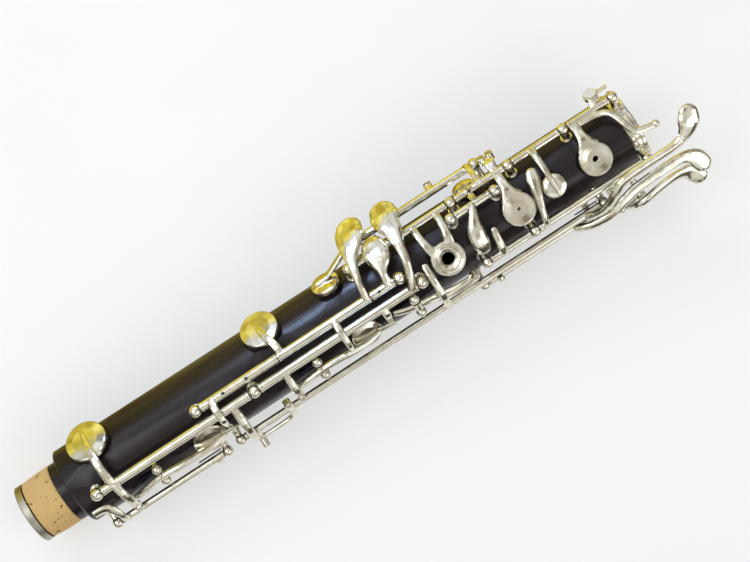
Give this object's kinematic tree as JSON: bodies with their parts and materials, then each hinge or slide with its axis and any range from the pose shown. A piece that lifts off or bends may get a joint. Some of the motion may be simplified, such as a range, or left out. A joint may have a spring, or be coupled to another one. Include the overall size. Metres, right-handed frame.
{
  "type": "oboe lower joint",
  "caption": "Lower joint of an oboe: tapered wooden tube with cork tenon and socket ring, carrying hinged silver keys, rockers, levers and pads.",
  "frame": {"origin": "centre of the tenon's tip, on the bore's axis", "axes": "+X along the bore from the tenon to the socket, +Z towards the finger keys, -Y towards the left-hand levers' side"},
  "size_m": [0.2682, 0.0591, 0.0461],
  "materials": {
    "wood": "oiled dark blackwood, soft gloss",
    "cork": "tenon cork, greased",
    "silver": "silver-plated nickel silver, polished, slightly warm",
    "steel": "turned steel rods and screws",
    "blued_steel": "blued spring steel",
    "pad": "cream skin over felt",
    "white_cork": "pale cork"
  },
  "bodies": {
    "joint_body": {"wood_body": "wood", "tenon_cork": "cork", "tenon_ring": "silver", "socket_ring": "silver", "thumb_rest": "silver", "thumb_rest_screws": "steel", "stack_posts": "silver", "side_posts": "silver", "pinky_posts": "silver", "rocker_posts": "silver", "lever_posts": "silver", "stack_hinge_rod": "steel", "side_hinge_rods": "steel", "pinky_hinge_rod": "steel", "rocker_hinge_screws": "steel", "lever_hinge_rods": "steel", "needle_springs": "blued_steel", "rocker_springs": "blued_steel"},
    "f_sharp": {"f_sharp_key": "silver", "f_sharp_pad": "pad", "bridge_cork": "white_cork"},
    "vent": {"vent_key": "silver", "vent_pad": "pad"},
    "e": {"e_key": "silver", "e_pad": "pad", "e_key_screws": "steel"},
    "d_ring": {"d_ring_key": "silver", "d_pad": "pad"},
    "f": {"f_key": "silver", "f_pad": "pad"},
    "f_resonance": {"f_resonance_key": "silver", "f_resonance_pad": "pad", "f_resonance_screw": "steel"},
    "low_c": {"low_c_key": "silver", "low_c_pad": "pad"},
    "c_sharp": {"c_sharp_touch": "silver", "c_sharp_arm": "silver", "c_sharp_core_rod": "steel", "c_sharp_pins": "steel"},
    "c_sharp_rocker": {"c_sharp_rocker": "silver", "c_sharp_pad": "pad"},
    "e_flat": {"e_flat_touch": "silver", "e_flat_screw": "steel"},
    "e_flat_rocker": {"e_flat_rocker": "silver", "e_flat_pad": "pad"},
    "low_b": {"low_b_key": "silver", "low_b_pad": "pad", "low_b_screw": "steel"},
    "transfer_rocker": {"transfer_rocker": "silver", "transfer_screw": "steel"},
    "trill": {"trill_lever": "silver"},
    "f_link": {"f_link_lever": "silver"},
    "left_b": {"left_b_lever": "silver", "left_b_screws": "steel"},
    "left_f": {"left_f_lever": "silver"},
    "left_e_flat": {"left_e_flat_lever": "silver"},
    "bell": {"bell_lever": "silver"}
  },
  "joints": [
    {"name": "f_sharp_hinge", "type": "hinge", "parent": "joint_body", "child": "f_sharp", "pos_m": [0.193, 0.01422, 0.01152], "axis": [1, 0, 0], "range_deg": [0, 4.9], "stiffness_Nm_per_rad": 0.02},
    {"name": "e_hinge", "type": "hinge", "parent": "joint_body", "child": "e", "pos_m": [0.193, 0.01422, 0.01152], "axis": [1, 0, 0], "range_deg": [0, 4.9], "stiffness_Nm_per_rad": 0.02},
    {"name": "vent_hinge", "type": "hinge", "parent": "joint_body", "child": "vent", "pos_m": [0.193, 0.01422, 0.01152], "axis": [1, 0, 0], "range_deg": [0, 4.9], "stiffness_Nm_per_rad": 0.02},
    {"name": "d_ring_hinge", "type": "hinge", "parent": "joint_body", "child": "d_ring", "pos_m": [0.193, 0.01422, 0.01152], "axis": [1, 0, 0], "range_deg": [0, 4.9], "stiffness_Nm_per_rad": 0.02},
    {"name": "f_hinge", "type": "hinge", "parent": "joint_body", "child": "f", "pos_m": [0.187, 0.01023, 0.01517], "axis": [1, 0, 0], "range_deg": [0, 5], "stiffness_Nm_per_rad": 0.02},
    {"name": "f_resonance_hinge", "type": "hinge", "parent": "joint_body", "child": "f_resonance", "pos_m": [0.169, 0.0193, 0.0034], "axis": [1, 0, 0], "range_deg": [0, 6.9], "stiffness_Nm_per_rad": 0.02},
    {"name": "low_c_hinge", "type": "hinge", "parent": "joint_body", "child": "low_c", "pos_m": [0.121, 0.00355, 0.01826], "axis": [1, 0, 0], "range_deg": [-5.9, 0], "stiffness_Nm_per_rad": 0.02},
    {"name": "c_sharp_hinge", "type": "hinge", "parent": "joint_body", "child": "c_sharp", "pos_m": [0.121, 0.00355, 0.01826], "axis": [1, 0, 0], "range_deg": [-6, 0], "stiffness_Nm_per_rad": 0.02},
    {"name": "c_sharp_rocker_hinge", "type": "hinge", "parent": "joint_body", "child": "c_sharp_rocker", "pos_m": [0.0474, -0.00962, 0.01426], "axis": [0, 0.829, 0.5592], "range_deg": [-3, 0], "stiffness_Nm_per_rad": 0.02},
    {"name": "e_flat_hinge", "type": "hinge", "parent": "joint_body", "child": "e_flat", "pos_m": [0.092, -0.00194, 0.0185], "axis": [1, 0, 0], "range_deg": [-6, 0], "stiffness_Nm_per_rad": 0.02},
    {"name": "e_flat_rocker_hinge", "type": "hinge", "parent": "joint_body", "child": "e_flat_rocker", "pos_m": [0.1134, -0.00886, 0.01474], "axis": [0, 0.8572, 0.515], "range_deg": [-3, 0], "stiffness_Nm_per_rad": 0.02},
    {"name": "low_b_hinge", "type": "hinge", "parent": "joint_body", "child": "low_b", "pos_m": [0.092, -0.00194, 0.0185], "axis": [1, 0, 0], "range_deg": [-5.9, 0], "stiffness_Nm_per_rad": 0.02},
    {"name": "transfer_rocker_hinge", "type": "hinge", "parent": "joint_body", "child": "transfer_rocker", "pos_m": [0.1529, -0.00911, 0.01459], "axis": [0, 0.848, 0.5299], "range_deg": [0, 3.5], "stiffness_Nm_per_rad": 0.02},
    {"name": "trill_hinge", "type": "hinge", "parent": "joint_body", "child": "trill", "pos_m": [0.213, -0.0097, 0.01552], "axis": [1, 0, 0], "range_deg": [0, 3.5], "stiffness_Nm_per_rad": 0.02},
    {"name": "f_link_hinge", "type": "hinge", "parent": "joint_body", "child": "f_link", "pos_m": [0.213, -0.0097, 0.01552], "axis": [1, 0, 0], "range_deg": [0, 4], "stiffness_Nm_per_rad": 0.02},
    {"name": "left_b_hinge", "type": "hinge", "parent": "joint_body", "child": "left_b", "pos_m": [0.151, -0.01593, 0.01035], "axis": [1, 0, 0], "range_deg": [-5, 0], "stiffness_Nm_per_rad": 0.02},
    {"name": "left_f_hinge", "type": "hinge", "parent": "joint_body", "child": "left_f", "pos_m": [0.199, -0.01882, 0.00469], "axis": [1, 0, 0], "range_deg": [-5, 0], "stiffness_Nm_per_rad": 0.02},
    {"name": "left_e_flat_hinge", "type": "hinge", "parent": "joint_body", "child": "left_e_flat", "pos_m": [0.236, -0.02354, 0.00165], "axis": [1, 0, 0], "range_deg": [-5, 0], "stiffness_Nm_per_rad": 0.02},
    {"name": "bell_hinge", "type": "hinge", "parent": "joint_body", "child": "bell", "pos_m": [0.047, -0.01726, 0.00842], "axis": [1, 0, 0], "range_deg": [-4, 0], "stiffness_Nm_per_rad": 0.02}
  ],
  "couplings": [
    {"joint": "vent_hinge", "follows": "e_hinge", "ratio": 1},
    {"joint": "f_resonance_hinge", "follows": "e_hinge", "ratio": 1.4},
    {"joint": "c_sharp_rocker_hinge", "follows": "c_sharp_hinge", "ratio": 0.47},
    {"joint": "e_flat_rocker_hinge", "follows": "e_flat_hinge", "ratio": 0.34},
    {"joint": "transfer_rocker_hinge", "follows": "e_flat_hinge", "ratio": -0.5},
    {"joint": "left_b_hinge", "follows": "low_b_hinge", "ratio": 0.8}
  ]
}
